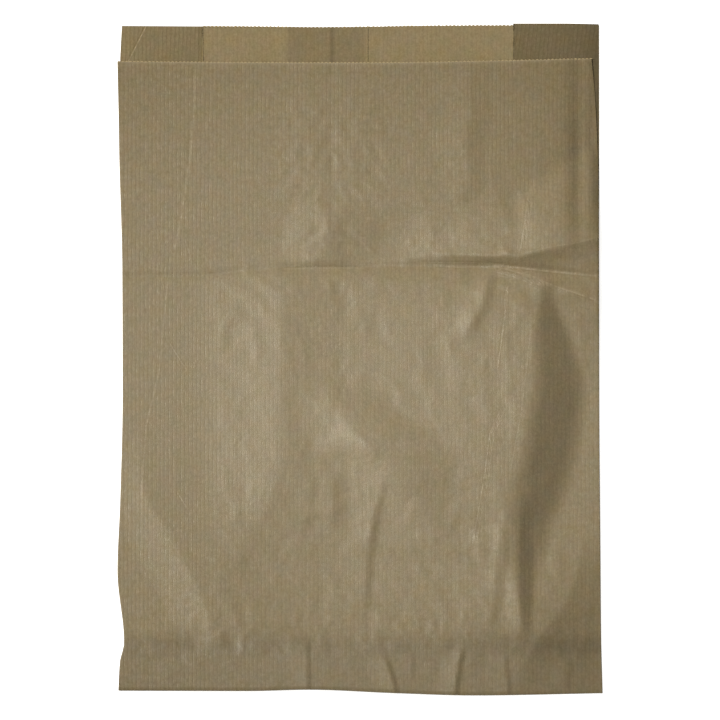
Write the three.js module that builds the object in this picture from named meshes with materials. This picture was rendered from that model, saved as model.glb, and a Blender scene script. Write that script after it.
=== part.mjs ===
// An empty paper bread bag, laid down flat with its front panel up and its mouth towards +Y.
// It is one folded sheet: a back panel, a shorter front panel, a pressed-in gusset at each
// side and a bottom that is folded under. Millimetres, +Z up, with the origin under the
// middle of the bag. The soft, part-filled hollow is too flat to see into, so the bag is one
// closed solid, made as a loft of cross-sections that run from the mouth to the bottom.
import * as THREE from 'three';

// Driving dimensions.
const bagWidth = 260;          // between the pressed side folds
const mouthEdge = 181;         // middle of the bag to the back panel's cut edge
const bottomEdge = -181;       // middle of the bag to the bottom fold
const lipEdge = 161.5;         // the front panel is cut shorter than the back panel
const gussetDepth = 44.7;      // how far a side is tucked in
const seamFrom = -39.6;        // glued overlap down the back panel
const seamTo = 3.3;
const flapEdge = -155.2;       // the bottom is folded under by about 25

// Heights over the table.
const backHeight = 0.6;
const seamHeight = 0.8;
const gussetHeight = 1.2;
const bottomStripHeight = 2.4;
const frontHeight = 2.3;       // at the side folds
const lipHeight = 1.6;         // pressed flatter at the cut edge
const lowerPillow = 0.9;       // how far the middle of the front is puffed up
const upperPillow = 0.6;
const plyStep = 0.2;           // what one overlap of paper lifts the underside
const stepRun = 0.3;           // length over which a step rises
const lipRun = 0.1;
const pressedRun = 90;         // length over which the front is pressed flatter towards its lip
const foldLine = 50;           // where the bag was once folded across
const sideGroove = 0.5;        // least depth of the groove between front and back at a side
const sidePly = 0.5;           // the folded paper above and below that groove

const half = bagWidth / 2;

// The folds of the front panel. A fold that runs up and down has stations of
// [y, x, height, reach to the left, reach to the right], one that runs across has
// [x, y, height, reach above, reach below]. Crest is its roundness, and a higher power
// gathers the slope near the crest.
const uprightFolds = [
  { // the front rises over the glued seam beneath it
    crest: 2, power: 1.4,
    stations: [
      [66, -39, 0, 44, 40], [38, -41, 1.2, 52, 70], [16, -41, 1.7, 54, 90],
      [-44, -41, 1.8, 50, 90], [-80, -49, 1.0, 38, 60], [-112, -60, 0, 22, 40],
    ],
  },
  { // the tall ridge down the right side, steep on its right
    crest: 2, power: 1.15,
    stations: [
      [60, 90, 0, 80, 16], [44, 95, 1.4, 90, 14], [28, 96, 3.2, 100, 16],
      [-14, 96, 4.6, 108, 28], [-44, 90, 4.6, 100, 32], [-77, 83, 4.0, 88, 30],
      [-109, 80, 2.8, 80, 22], [-142, 88, 1.2, 60, 8], [-156, 89, 0.6, 50, 6],
    ],
  },
  { // the puffed side fold beside it
    crest: 1, power: 1.05,
    stations: [
      [46, 133, 0, 12, 11], [24, 134, 1.0, 24, 11], [-38, 135, 1.0, 15, 11],
      [-77, 134, 1.2, 32, 13], [-112, 129, 0.8, 34, 16], [-148, 120, 0, 30, 20],
    ],
  },
  { // the slanting facet at the lower left corner
    crest: 0.6, power: 1.15,
    stations: [
      [-30, -121, 0, 10, 40], [-77, -115, 0.5, 14, 40], [-105, -98, 1.0, 21, 44],
      [-130, -85.5, 1.1, 21, 46], [-148, -77, 0.7, 17, 42], [-160, -73, 0, 14, 40],
    ],
  },
  { // the side of the front falls to the back near the mouth
    crest: 1, power: 1.4,
    stations: [
      [60, 140, 0, 30, 10], [90, 140, -1.6, 30, 10], [161, 140, -0.9, 30, 10],
    ],
  },
];
const crossFolds = [
  { // the crease where the bag was folded in half
    crest: 0.3, power: 2,
    stations: [
      [-141, 47, -0.3, 4, 4], [-87, 48, -0.3, 4, 4], [-41, 50.5, -0.5, 5, 6],
      [14, 51, -0.4, 4, 5], [65, 50.5, -0.3, 4, 4], [109, 47, -0.9, 4, 4],
      [141, 43.5, -1.0, 4, 4],
    ],
  },
  { // the panel above laps over the crease at the right
    crest: 0.6, power: 1.15,
    stations: [
      [18, 54, 0, 12, 3], [32, 55.5, 0.8, 22, 4.5], [66, 56, 2.2, 34, 5.5],
      [84, 55.8, 2.9, 36, 7], [115, 62.3, 4.3, 46, 16.5], [137, 68, 4.8, 56, 23],
    ],
  },
];

// The pressed outline. Each edge is a list of [place along it, place of the edge].
const frontLeft = [[161, -131.8], [125, -131], [48, -129.2], [-20, -129], [-77, -130.3],
  [-115, -131.8], [-154, -128.2], [-165, -130.5], [-181, -131.3]];
const frontRight = [[161, 125.8], [150, 127], [120, 128.9], [100, 129.6], [64, 129.9],
  [-20, 130], [-100, 130.6], [-150, 131], [-181, 131.8]];
const backLeft = [[181, -129.4], [161, -130.4], [125, -131], [48, -129.2], [-20, -129],
  [-77, -130.3], [-115, -131.8], [-154, -128.2], [-165, -130.5], [-181, -131.3]];
const backRight = [[181, 129.9], [64, 130], [-20, 130], [-100, 130.6], [-150, 131],
  [-181, 131.8]];
const mouthLine = [[-130, 181], [-60, 180.6], [-20, 180.2], [40, 181], [83, 181.2],
  [84, 182.2], [110, 182.3], [130, 181.9]];
const lipLine = [[-130, 161.5], [-30, 160.9], [10, 160.9], [60, 161.6], [128, 163.2]];
const bottomLine = [[-130, -179.8], [-60, -180], [-28, -179.3], [20, -181.2], [62, -182.4],
  [130, -181.2]];

// Rows of the loft along Y and columns along X: spans of [from, to, steps].
const frontSpans = [[lipEdge, 72, 8], [72, 58, 4], [58, 42, 9], [42, -140, 19],
  [-140, flapEdge, 4], [flapEdge - stepRun, -163, 3], [-163, bottomEdge, 3]];
const mouthRows = 2;
const columnSpacing = 6.5;
const undersideColumns = [-half, -95, -55, seamFrom - stepRun, seamFrom, 0, 45, 90, half];

// 0 to 1, with a soft start and end.
function ease(t) {
  const s = Math.min(Math.max(t, 0), 1);
  return s * s * (3 - 2 * s);
}

// The value at a place of a list of [place, value, ...], softened between its stations.
function valueAt(list, place, item = 1) {
  const rising = list[0][0] < list[list.length - 1][0] ? list : [...list].reverse();
  if (place <= rising[0][0]) return rising[0][item];
  for (let i = 1; i < rising.length; i += 1) {
    if (place <= rising[i][0]) {
      const t = (place - rising[i - 1][0]) / (rising[i][0] - rising[i - 1][0]);
      return THREE.MathUtils.lerp(rising[i - 1][item], rising[i][item], ease(t) * 0.5 + t * 0.5);
    }
  }
  return rising[rising.length - 1][item];
}

// The height that one fold adds, at a distance along it and a place beside it.
function foldHeight({ stations, crest, power }, along, beside) {
  const line = valueAt(stations, along);
  const lean = valueAt(stations, along + 1) - line;
  const away = (beside - line) / Math.hypot(1, lean);
  const reach = valueAt(stations, along, away < 0 ? 3 : 4);
  const share = (Math.hypot(away, crest) - crest) / reach;
  return valueAt(stations, along, 2) * (1 - Math.min(share, 1)) ** power;
}

// The front panel's height over the table.
function panelHeight(x, y) {
  const middle = Math.sin(Math.PI * THREE.MathUtils.clamp((x + half) / bagWidth, 0, 1)) ** 0.6;
  const below = lowerPillow * ease((foldLine - y) / 80) * ease((y - flapEdge) / 40);
  const above = upperPillow * ease((y - foldLine) / 40) * ease((lipEdge - y) / 70);
  const pressed = (frontHeight - lipHeight) * ease(1 - (lipEdge - y) / pressedRun);
  let height = frontHeight - pressed + middle * (below + above);
  for (const fold of uprightFolds) height += foldHeight(fold, y, x);
  for (const fold of crossFolds) {
    // reach above is on the far side of the line, so the two reaches change places
    const stations = fold.stations.map(([sx, sy, h, above, below]) => [sx, sy, h, below, above]);
    height += foldHeight({ ...fold, stations }, x, y);
  }
  const aboveStrip = ease((y - flapEdge + 5) / 11);
  return bottomStripHeight + (height - bottomStripHeight) * aboveStrip;
}

// The height of what lies behind the front: the back panel, its seam and the side gussets.
function mouthHeight(x) {
  if (Math.abs(x) > half - gussetDepth - stepRun / 2) return gussetHeight;
  if (x > seamFrom - stepRun / 2 && x < seamTo + stepRun / 2) return seamHeight;
  return backHeight;
}

// The underside: flat on the table but for the lift at the seam and at the folded flap.
function undersideHeight(x, y) {
  const besideSeam = x < seamFrom - stepRun / 2 ? ease(1 + (x - seamFrom) / 15) : 0;
  const aboveFlap = ease(1 - (y - flapEdge) / 12);
  if (y < flapEdge - stepRun / 2) return 0;
  return plyStep * Math.max(besideSeam, aboveFlap);
}

function spread([from, to, steps]) {
  return Array.from({ length: steps + 1 }, (_, i) => THREE.MathUtils.lerp(from, to, i / steps));
}

// The columns: even, with a close pair at each step of the mouth.
function columns() {
  const inner = half - gussetDepth;
  const steps = [-inner, seamFrom, seamTo, inner];
  const pairs = steps.flatMap((x) => [x - stepRun / 2, x + stepRun / 2]);
  const even = spread([-half, half, Math.round(bagWidth / columnSpacing)]);
  const kept = even.filter((x) => steps.every((s) => Math.abs(x - s) > columnSpacing / 3));
  return [...kept, ...pairs].sort((a, b) => a - b);
}

// The rows follow the mouth, the lip, the fold across the middle and the bottom.
function rowPlace(row, x) {
  if (row > lipEdge) {
    const t = (row - lipEdge) / (mouthEdge - lipEdge);
    return THREE.MathUtils.lerp(valueAt(lipLine, x), valueAt(mouthLine, x), t);
  }
  const lipShift = (valueAt(lipLine, x) - lipEdge) * ease((row - 100) / (lipEdge - 100));
  const bottomShift = (valueAt(bottomLine, x) - bottomEdge) * ease((-row - 165) / 16);
  const beside = Math.abs(row - foldLine);
  const creaseShift = (valueAt(crossFolds[0].stations, x) - foldLine) * ease(1 - beside / 32);
  return row + lipShift + bottomShift + creaseShift;
}

// A column near a side keeps its distance from that side's edge.
function columnPlace(column, leftEdge, rightEdge) {
  const near = ease((Math.abs(column) - half / 2) / (half / 2));
  const shift = column < 0 ? leftEdge + half : rightEdge - half;
  return column + shift * near;
}

// One cross-section, as a ring of points: the underside from left to right, the right
// gusset's groove, the top from right to left, and the left gusset's groove.
function crossSection(row, topHeight) {
  const low = { left: valueAt(backLeft, row), right: valueAt(backRight, row) };
  const high = row > lipEdge ? low : { left: valueAt(frontLeft, row), right: valueAt(frontRight, row) };
  const ringPoint = (x, z) => new THREE.Vector3(x, rowPlace(row, x), z);
  const underside = undersideColumns.map((column) => {
    const x = columnPlace(column, low.left, low.right);
    return ringPoint(x, undersideHeight(x, row));
  });
  const top = columns().map((column) => {
    const x = columnPlace(column, high.left, high.right);
    return ringPoint(x, topHeight(x, rowPlace(row, x)));
  });
  const groove = (lowX, highX, height, inward) => {
    const ply = Math.min(sidePly, height * 0.42);
    const depth = sideGroove + Math.max(height - 2 * sidePly, 0);
    const deepX = (inward > 0 ? Math.max(lowX, highX) : Math.min(lowX, highX)) + inward * depth;
    return [ringPoint(lowX, ply), ringPoint(deepX, height / 2), ringPoint(highX, height - ply)];
  };
  const rightGroove = groove(low.right, high.right, top[top.length - 1].z, -1);
  const leftGroove = groove(low.left, high.left, top[0].z, 1);
  return [...underside, ...rightGroove, ...top.reverse(), ...leftGroove.reverse()];
}

// The sections from the mouth to the bottom.
function crossSections() {
  const mouth = spread([mouthEdge, lipEdge + lipRun, mouthRows]);
  const front = [...new Set(frontSpans.flatMap(spread))];
  return [
    ...mouth.map((row) => crossSection(row, mouthHeight)),
    ...front.map((row) => crossSection(row, panelHeight)),
  ];
}

// Triangles that close one end, zipped between the underside and the top.
function endTriangles(ring) {
  const lowCount = undersideColumns.length;
  const highCount = columns().length;
  const lows = Array.from({ length: lowCount }, (_, i) => i);
  const highs = Array.from({ length: highCount }, (_, i) => lowCount + 3 + highCount - 1 - i);
  const [rightLow, rightDeep, rightHigh] = [lowCount, lowCount + 1, lowCount + 2];
  const [leftHigh, leftDeep, leftLow] = [0, 1, 2].map((i) => lowCount + 3 + highCount + i);
  const triangles = [
    [leftDeep, leftLow, lows[0]], [leftDeep, lows[0], lows[1]],
    [leftDeep, highs[0], leftHigh], [leftDeep, highs[1], highs[0]],
    [leftDeep, lows[1], highs[1]],
    [rightDeep, lows[lowCount - 1], rightLow], [rightDeep, lows[lowCount - 2], lows[lowCount - 1]],
    [rightDeep, rightHigh, highs[highCount - 1]],
    [rightDeep, highs[highCount - 1], highs[highCount - 2]],
    [rightDeep, highs[highCount - 2], lows[lowCount - 2]],
  ];
  let low = 1;
  let high = 1;
  while (low < lowCount - 2 || high < highCount - 2) {
    const nextLow = low < lowCount - 2 ? ring[lows[low + 1]].x : Infinity;
    const nextHigh = high < highCount - 2 ? ring[highs[high + 1]].x : Infinity;
    if (nextLow < nextHigh) {
      triangles.push([lows[low], lows[low + 1], highs[high]]);
      low += 1;
    } else {
      triangles.push([lows[low], highs[high + 1], highs[high]]);
      high += 1;
    }
  }
  return triangles;
}

// The loft's walls, and an end on the first and the last section.
function loft(sections) {
  const count = sections[0].length;
  const index = [];
  for (let s = 0; s + 1 < sections.length; s += 1) {
    for (let i = 0; i < count; i += 1) {
      const next = (i + 1) % count;
      const [a, b] = [s * count + i, s * count + next];
      const [c, d] = [a + count, b + count];
      index.push(a, b, d, a, d, c);
    }
  }
  const last = sections.length - 1;
  for (const [a, b, c] of endTriangles(sections[0])) index.push(a, c, b);
  for (const triangle of endTriangles(sections[last])) {
    index.push(...triangle.map((i) => last * count + i));
  }
  const geometry = new THREE.BufferGeometry();
  const points = sections.flat().flatMap((p) => p.toArray());
  geometry.setAttribute('position', new THREE.Float32BufferAttribute(points, 3));
  geometry.setIndex(index);
  return geometry;
}

// The bag's solid, with the middle of its box over the origin.
function bagGeometry() {
  const geometry = loft(crossSections());
  geometry.computeBoundingBox();
  const middle = geometry.boundingBox.getCenter(new THREE.Vector3());
  geometry.translate(-middle.x, -middle.y, -geometry.boundingBox.min.z);
  geometry.computeVertexNormals();
  return geometry;
}

const ribbedKraft = new THREE.MeshStandardMaterial({ color: 0x8f8064, roughness: 0.55, metalness: 0 });
const breadBag = new THREE.Mesh(bagGeometry(), ribbedKraft);
breadBag.name = 'bread_bag';

const model = new THREE.Group();
model.add(breadBag);
export default model;
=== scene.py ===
import math

import bpy
import numpy as np
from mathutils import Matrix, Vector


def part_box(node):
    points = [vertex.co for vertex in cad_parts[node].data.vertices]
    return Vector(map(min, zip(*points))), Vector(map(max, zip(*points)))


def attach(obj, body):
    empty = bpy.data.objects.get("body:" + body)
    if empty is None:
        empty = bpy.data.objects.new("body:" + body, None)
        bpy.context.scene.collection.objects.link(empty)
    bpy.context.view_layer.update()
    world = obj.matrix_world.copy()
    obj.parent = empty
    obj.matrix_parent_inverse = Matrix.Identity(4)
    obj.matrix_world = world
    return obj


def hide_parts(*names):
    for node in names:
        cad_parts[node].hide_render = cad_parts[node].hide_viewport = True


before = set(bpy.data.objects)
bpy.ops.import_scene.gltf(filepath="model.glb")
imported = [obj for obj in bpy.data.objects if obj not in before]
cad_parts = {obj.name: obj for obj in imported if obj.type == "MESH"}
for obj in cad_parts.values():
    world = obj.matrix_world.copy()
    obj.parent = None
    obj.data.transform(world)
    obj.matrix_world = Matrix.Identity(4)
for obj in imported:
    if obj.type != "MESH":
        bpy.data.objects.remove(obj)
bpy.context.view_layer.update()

bagLow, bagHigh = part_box("bread_bag")

# An empty paper bread bag lying on its back: one tube of ribbed kraft, glued down the back,
# tucked in at the sides, cut shorter in front and folded under at the bottom.
# Shapes are worked out in millimetres from the middle of the bag, x to the right, y to the mouth.
mm = (bagHigh.x - bagLow.x) / 263.6

bag = {
    "paper": 0.12,            # thickness
    "side": 130,              # middle to a pressed side fold
    "mouth": 181,             # cut edge of the back panel
    "lip": 161.5,             # cut edge of the shorter front panel
    "bottom": -180.4,         # fold at the bottom
    "tuckLeft": -85.3,        # inner fold of each gusset
    "tuckRight": 83.2,
    "seamFrom": -39.6,        # glued overlap in the back
    "glueLine": -15.2,
    "seamTo": 4.2,
    "ribPitch": 2.2,
    "seed": 11,
}


def ease(t):
    t = np.clip(t, 0, 1)
    return t * t * (3 - 2 * t)


def ramp(at, start, end):
    # from 0 at the start to 1 at the end
    return ease((at - start) / (end - start))


def valueAt(stops, values, at):
    # smooth curve through the values, which never overshoots them
    s, v = np.asarray(stops, float), np.asarray(values, float)
    if s[0] > s[-1]:
        s, v = s[::-1], v[::-1]
    at = np.clip(at, s[0], s[-1])
    i = np.clip(np.searchsorted(s, at, side="right") - 1, 0, len(s) - 2)
    rise = np.diff(v) / np.diff(s)
    product, total = rise[:-1] * rise[1:], rise[:-1] + rise[1:]
    inner = np.where(product > 0, 2 * product / np.where(total == 0, 1, total), 0)
    slope = np.concatenate([rise[:1], inner, rise[-1:]])
    h = s[i + 1] - s[i]
    t = (at - s[i]) / h
    start = v[i] * (1 + 2 * t) * (1 - t) ** 2 + slope[i] * h * t * (1 - t) ** 2
    return start + v[i + 1] * t * t * (3 - 2 * t) + slope[i + 1] * h * t * t * (t - 1)


def cloud(x, y, size, seed):
    # soft random hills about size across, from -1 to 1
    turn = np.random.default_rng(seed).uniform(0, math.tau, (64, 64))
    u, v = x / size + 31.7, y / size + 17.3
    i, j = np.floor(u).astype(int), np.floor(v).astype(int)
    a, b = u - i, v - j

    def slope(right, up):
        angle = turn[(i + right) % 64, (j + up) % 64]
        return np.cos(angle) * (a - right) + np.sin(angle) * (b - up)

    low = slope(0, 0) * (1 - ease(a)) + slope(1, 0) * ease(a)
    high = slope(0, 1) * (1 - ease(a)) + slope(1, 1) * ease(a)
    return 1.5 * (low * (1 - ease(b)) + high * ease(b))


# Folds of the front panel. One that runs up has stations (y, x, height, reach to the left,
# reach to the right); one that runs across has (x, y, height, reach below, reach above).
# Each side has a pair: the first rounds the crest, the second softens the foot.
belly = {
    # the body's rise from left to right, each held at its height beyond the crest
    "seamRise": ("up", 2.5, (1.1, 2.0), (1, 0), [
        (66, -39, 0, 44, 40), (56, -40, 0.3, 46, 40), (48, -40.5, 0.75, 48, 40), (38, -41, 1.25, 53, 40),
        (20, -41, 1.6, 54, 40), (-44, -41, 1.65, 50, 40), (-64, -44, 1.4, 44, 40), (-80, -49, 1.0, 38, 40),
        (-94, -56, 0.5, 28, 40), (-112, -60, 0, 22, 40)]),
    "westRise": ("up", 3, (1.1, 1.15), (1, 0), [
        (60, 90, 0, 100, 40), (50, 92, 0.8, 100, 40), (38, 97, 2.2, 104, 40), (24, 98, 3.0, 106, 40),
        (10, 99, 3.3, 108, 40), (-14, 99, 3.6, 108, 40), (-38, 95, 3.55, 104, 40), (-55, 87, 3.35, 96, 40),
        (-77, 82, 2.9, 88, 40), (-93, 80, 2.5, 84, 40), (-109, 84, 2.15, 84, 40), (-126, 86, 1.75, 84, 40),
        (-142, 88, 1.4, 82, 40), (-156, 89, 1.1, 80, 40), (-170, 89, 0.9, 80, 40)]),
    "lowerLeft": ("up", 0.4, (1.0, 1.3), (1, 1), [
        (-30, -121, 0, 10, 40), (-45, -119.5, 0.1, 10, 40), (-62, -118.5, 0.3, 12, 40),
        (-77, -115, 0.5, 14, 40), (-90, -107, 0.7, 18, 42), (-105, -98, 0.9, 21, 44),
        (-118, -91, 1.0, 22, 46), (-130, -85.5, 1.0, 21, 46), (-141, -81, 0.85, 19, 44),
        (-148, -77, 0.65, 17, 42), (-156, -74, 0.3, 15, 40), (-164, -72, 0, 14, 40)]),
}
# where the body falls away on the right: y, x of the crest, reach to the foot and how far it falls
eastFall = [(58, 97, 8, 0), (44, 97.5, 8, 0.4), (36, 97, 8, 1.0), (28, 95.5, 11, 2.1), (10, 93.5, 20, 3.9),
            (-12, 93, 26, 5.1), (-33, 89, 29, 5.6), (-55, 85, 30, 5.6), (-77, 81.5, 27, 4.7),
            (-93, 77, 25, 3.6), (-109, 77, 21, 2.4), (-126, 82, 12, 1.0), (-142, 87, 6, 0.3),
            (-154, 88, 5, 0)]
folds = {
    "rightRise": ("up", 0, (1.0, 1.05), (1.0, 1.4), [
        (46, 133, 0, 12, 11), (42, 133, 0.15, 20, 11), (36, 133.5, 0.4, 26, 11), (24, 134, 0.6, 24, 11),
        (10, 135, 0.55, 20, 11), (-14, 135, 0.45, 15, 11), (-38, 135, 0.5, 15, 11),
        (-55, 135, 0.7, 24, 12), (-77, 134, 0.85, 32, 13), (-93, 132, 0.85, 34, 14),
        (-112, 129, 0.6, 34, 16), (-132, 124, 0.2, 30, 18), (-148, 120, 0, 30, 20)]),
    "wedgeTop": ("across", 0.25, (1.0, 1.0), (1.7, 1.3), [
        (6, 53, 0, 3, 14), (20, 54, 0.2, 3, 20), (32, 55.5, 0.65, 4.5, 24), (40, 56.6, 1.0, 6, 26),
        (52, 56.6, 1.6, 6, 26), (66, 56, 2.25, 5.5, 31), (84, 55.8, 3.0, 7, 33), (98, 58.8, 3.8, 11, 38),
        (115, 62.3, 4.3, 16.5, 46), (129, 65.7, 4.7, 20.8, 52), (137, 68, 4.8, 23.3, 56)]),
    "spike": ("up", 0.4, (1.0, 1.5), (1.0, 1.1), [
        (-70, 88, 0, 16, 8), (-84, 87, 0.5, 16, 8), (-97, 86.5, 0.9, 16, 8), (-112, 86, 1.1, 16, 8),
        (-128, 86.5, 1.1, 14, 7), (-142, 87.5, 0.8, 12, 6), (-153, 88, 0, 10, 5)]),
    "lens": ("up", 2, (1.0, 1.1), (1.0, 1.4), [
        (89, -20, 0, 8, 12), (80, -17, 0.5, 18, 24), (68, -17.5, 0.75, 23, 30), (58, -19.5, 0.65, 21, 28),
        (51, -22, 0.3, 14, 16), (47, -24, 0, 8, 12)]),
    "lensFold": ("up", 0.3, (1.0, 1.2), (1.0, 1.2), [
        (60, -30.5, 0, 4, 3.5), (54, -26.5, 0.1, 4, 4), (49, -23.5, 0, 3, 3)]),
    "shortFold": ("up", 0.5, (1.0, 1.3), (1.0, 1.1), [
        (50, 71, 0, 5, 3), (40, 68.5, 0.5, 8, 5), (29, 66, 0.5, 9, 5), (22, 61.5, 0.5, 9, 5),
        (15, 58, 0.3, 8, 5), (8, 55, 0, 7, 5)]),
    "centreFold": ("up", 0.5, (1.1, 1.5), (1.0, 1.1), [
        (-60, 14, 0, 14, 3), (-75, 10, 0.2, 22, 3), (-91, 6.2, 0.36, 26, 3.4), (-115, 3.3, 0.36, 24, 3.4),
        (-136, 1.8, 0.18, 18, 3.4), (-148, 1, 0, 14, 3)]),
    "diagonal": ("up", 0.4, (1.0, 1.4), (2, 1.5), [
        (-10, -22, 0, 12, 20), (-25, -14.6, 0.7, 17, 26), (-47, 4, 1.2, 21, 30),
        (-64, 19, 1.0, 20, 26), (-76, 26, 0.5, 18, 24), (-96, 34, 0.2, 16, 24), (-120, 42, 0, 16, 24)]),
    "blob": ("up", 0.6, (1.0, 1.3), (1.0, 1.3), [
        (-60, -14, 0, 7, 6), (-70, -14.5, 0.35, 10, 8), (-84, -15.5, 0.3, 10, 8), (-97, -17, 0, 7, 6)]),
    "branch": ("up", 0.4, (1.0, 1.3), (1.0, 1.1), [
        (-82, 79, 0, 18, 4), (-95, 76, 0.25, 22, 6), (-109, 74.5, 0.45, 25, 6), (-122, 73, 0.45, 25, 6),
        (-136, 72.3, 0.35, 22, 5), (-149, 69, 0, 16, 3)]),
    "flute": ("up", 0.8, (1.0, 1.3), (1.0, 1.2), [
        (162, 61, 0.05, 20, 12), (148, 58, 0.35, 18, 11), (134, 60.5, 0.4, 18, 11), (118, 57.5, 0.5, 18, 9),
        (102, 59.5, 0.35, 16, 9), (86, 55, 0.15, 14, 9), (74, 54, 0, 12, 8)]),
    "crossCrease": ("across", 0.3, (1.0, 2.0), (1.0, 2.0), [
        (-146, 44.6, -0.25, 4.5, 3.5), (-87, 45.4, -0.3, 4.5, 3.5), (-60, 48.5, -0.3, 4.5, 3.5),
        (-46, 49.5, -0.35, 5.5, 4.5),
        (-38, 50, -0.45, 6, 4), (6, 50, -0.4, 5.5, 3.5), (14, 50.5, -0.25, 5, 3.5),
        (65, 50.5, -0.35, 4.5, 3.5), (87, 49.5, -0.5, 4.5, 3.5), (109, 47, -0.7, 4.5, 3.5),
        (141, 43.5, -0.7, 4.5, 3.5)]),
    "creaseA": ("across", 0.35, (1.0, 1.4), (1.0, 1.4), [
        (64, 51.5, 0, 4.5, 1.5), (76, 49.5, 0.4, 4.5, 1.5), (98, 47, 0.5, 6.5, 2),
        (130, 44.5, 0.5, 8.5, 2), (141, 43.5, 0.5, 8.5, 2)]),
    "creaseB": ("across", 0.5, (1.0, 1.3), (1.0, 1.3), [
        (65, 51, 0, 5.5, 2), (79, 47.5, 0.4, 7.5, 2.5), (92, 44, 0.6, 8.5, 4.5),
        (109, 38.5, 0.7, 12, 5.5), (137, 30, 0.7, 16.5, 6.5)]),
    "bottomRidge": ("across", 0.8, (1.0, 1.3), (1.0, 1.5), [
        (-128, -152, 0.05, 5, 8), (-95, -149, 0.1, 7, 12), (-20, -148, 0.15, 7, 13),
        (60, -148, 0.15, 7, 13), (128, -150, 0.1, 6, 10)]),
}
# the lower right corner hangs down
corner = ("up", 1, (1.3, 1.0), (1, 0), [
    (-96, 131, 0, 8, 40), (-108, 131, -0.5, 10, 40), (-118, 131, -0.9, 12, 40),
    (-132, 131, -1.4, 18, 40), (-146, 131, -2.2, 28, 40), (-158, 131, -2.2, 36, 40),
    (-170, 131, -1.7, 42, 40), (-181, 131, -1.1, 46, 40)])
# Small random creases, by the part of the panel they lie in: how many, x and y limits,
# angle and its spread in degrees, length, half width and height.
crinkles = {
    "belly": (22, (-85, 100), (-145, 44), 95, 30, (14, 40), (3, 8), (0.05, 0.14)),
    "crease": (24, (-62, 60), (38, 64), 20, 60, (6, 16), (2, 5), (0.05, 0.14)),
    "wedge": (24, (62, 124), (28, 62), -18, 16, (10, 26), (2, 4), (0.06, 0.20)),
    "ridge": (20, (60, 120), (-145, 20), 100, 14, (14, 40), (4, 8), (0.05, 0.15)),
    "bottom": (46, (-122, 124), (-156, -138), 90, 35, (6, 16), (2, 5), (0.04, 0.11)),
    "strip": (20, (-122, 124), (-178, -160), 90, 25, (8, 20), (3, 7), (0.04, 0.12)),
}
# Nets of sharp ridges where the paper has been crushed: x and y limits, their softness, height,
# size of a facet, how much longer it is along y, lean, and the line that mirrors it.
crumples = {
    "belly": ((-84, 104), (-146, 48), 12, 0.11, 15, 1.2, 0.2, None),
    "bellyFine": ((-80, 100), (-150, 48), 12, 0.04, 6.5, 1.1, -0.4, None),
    "seam": ((-50, 22), (50, 150), 18, 0.15, 13, 0.6, -0.5, -15.2),
    "upper": ((-40, 128), (50, 160), 20, 0.08, 20, 2.0, 0.1, None),
    "hump": ((26, 128), (48, 104), 12, 0.08, 11, 1.2, 0.3, None),
    "foot": ((-124, 128), (-166, -134), 8, 0.09, 7.5, 1.3, 0.1, None),
}
# Pressed pleats in the folded bottom: y, x pairs and depth.
pleats = [
    (0.30, [(-151, -28), (-181, -28)]),
    (0.50, [(-160, 12), (-169, 16.4), (-182, 20)]),
    (0.55, [(-156, 57), (-166, 54.4), (-182, 52)]),
    (0.30, [(-160, 79), (-182, 81)]),
    (0.20, [(-160, 114.5), (-178, 112.5)]),
    (0.12, [(-158, 28), (-172, 28.6)]),
]
panel = {
    "height": 2.3,          # at the left side fold
    "stripHeight": 3.3,     # over the folded bottom, at its upper end
    "bottomHeight": 2.2,
    "lipHeight": 1.6,       # pressed flat at the cut edge
    "stripEdge": -155,      # where the folded bottom begins
    "upperRise": [(-130, 0), (-60, 0.3), (0, 0.8), (40, 1.1), (72, 1.2), (96, 1.0), (105, 0.8),
                  (111, 0.5), (114, 0.05), (119, -1.15), (124, -1.4), (130, -3.1)],
    "fallSoft": 0.3,        # share of the fall on the right that rounds its crest
    "fallFoot": 0.28,       # and its foot
    "glueDent": 0.06,       # the seam shows through as a shallow line
    "sideRadius": 0.35,     # how far the side folds bulge
    "foldRadius": 0.08,     # where they are pressed flat
    "foldGap": 0.2,         # between their lower edge and the back
    "tuck": 0.6,            # how far a side fold is followed round
    "columns": 216,
    "edgeColumn": 0.15,     # from a side fold to the first of them
    "rows": [(161.5, 70, 44), (70, 34, 34), (34, -138, 84), (-138, -160, 14), (-160, -180.4, 10)],
    "flapHeight": 0.1,
    "flapLength": 25,
    "flapRows": 13,
}


def foldHeight(runs, crest, under, over, stations, x, y):
    along, beside = (y, x) if runs == "up" else (x, y)
    place, line, height, reachUnder, reachOver = np.array(stations, float).T
    lean = valueAt(place, line, along + 0.5) - valueAt(place, line, along - 0.5)
    away = (beside - valueAt(place, line, along)) / np.hypot(1, lean)
    below = away < 0
    reach = np.where(below, valueAt(place, reachUnder, along), valueAt(place, reachOver, along))
    share = np.clip((np.hypot(away, crest) - crest) / reach, 0, 1)
    top, foot = np.where(below, under[0], over[0]), np.where(below, under[1], over[1])
    return valueAt(place, height, along) * (1 - share ** top) ** foot


def crinkleHeight(x, y):
    draw = np.random.default_rng(bag["seed"])
    total = np.zeros_like(x)
    for count, spanX, spanY, angle, spread, lengths, widths, heights in crinkles.values():
        for _ in range(count):
            cx, cy = draw.uniform(*spanX), draw.uniform(*spanY)
            turn = math.radians(draw.normal(angle, spread))
            length, width, height = draw.uniform(*lengths), draw.uniform(*widths), draw.uniform(*heights)
            lean, bow = draw.uniform(0.5, 1.6), draw.uniform(-0.15, 0.15)
            u, v = x - cx, y - cy
            along = (u * math.cos(turn) + v * math.sin(turn)) / length * 2
            side = v * math.cos(turn) - u * math.sin(turn) - bow * length * along * along / 4
            near = np.clip(1 - (np.hypot(side, 0.4) - 0.4) / np.where(side > 0, width * lean, width), 0, 1)
            total += height * near ** 1.2 * ease(1 - np.abs(along))
    return total


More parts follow.
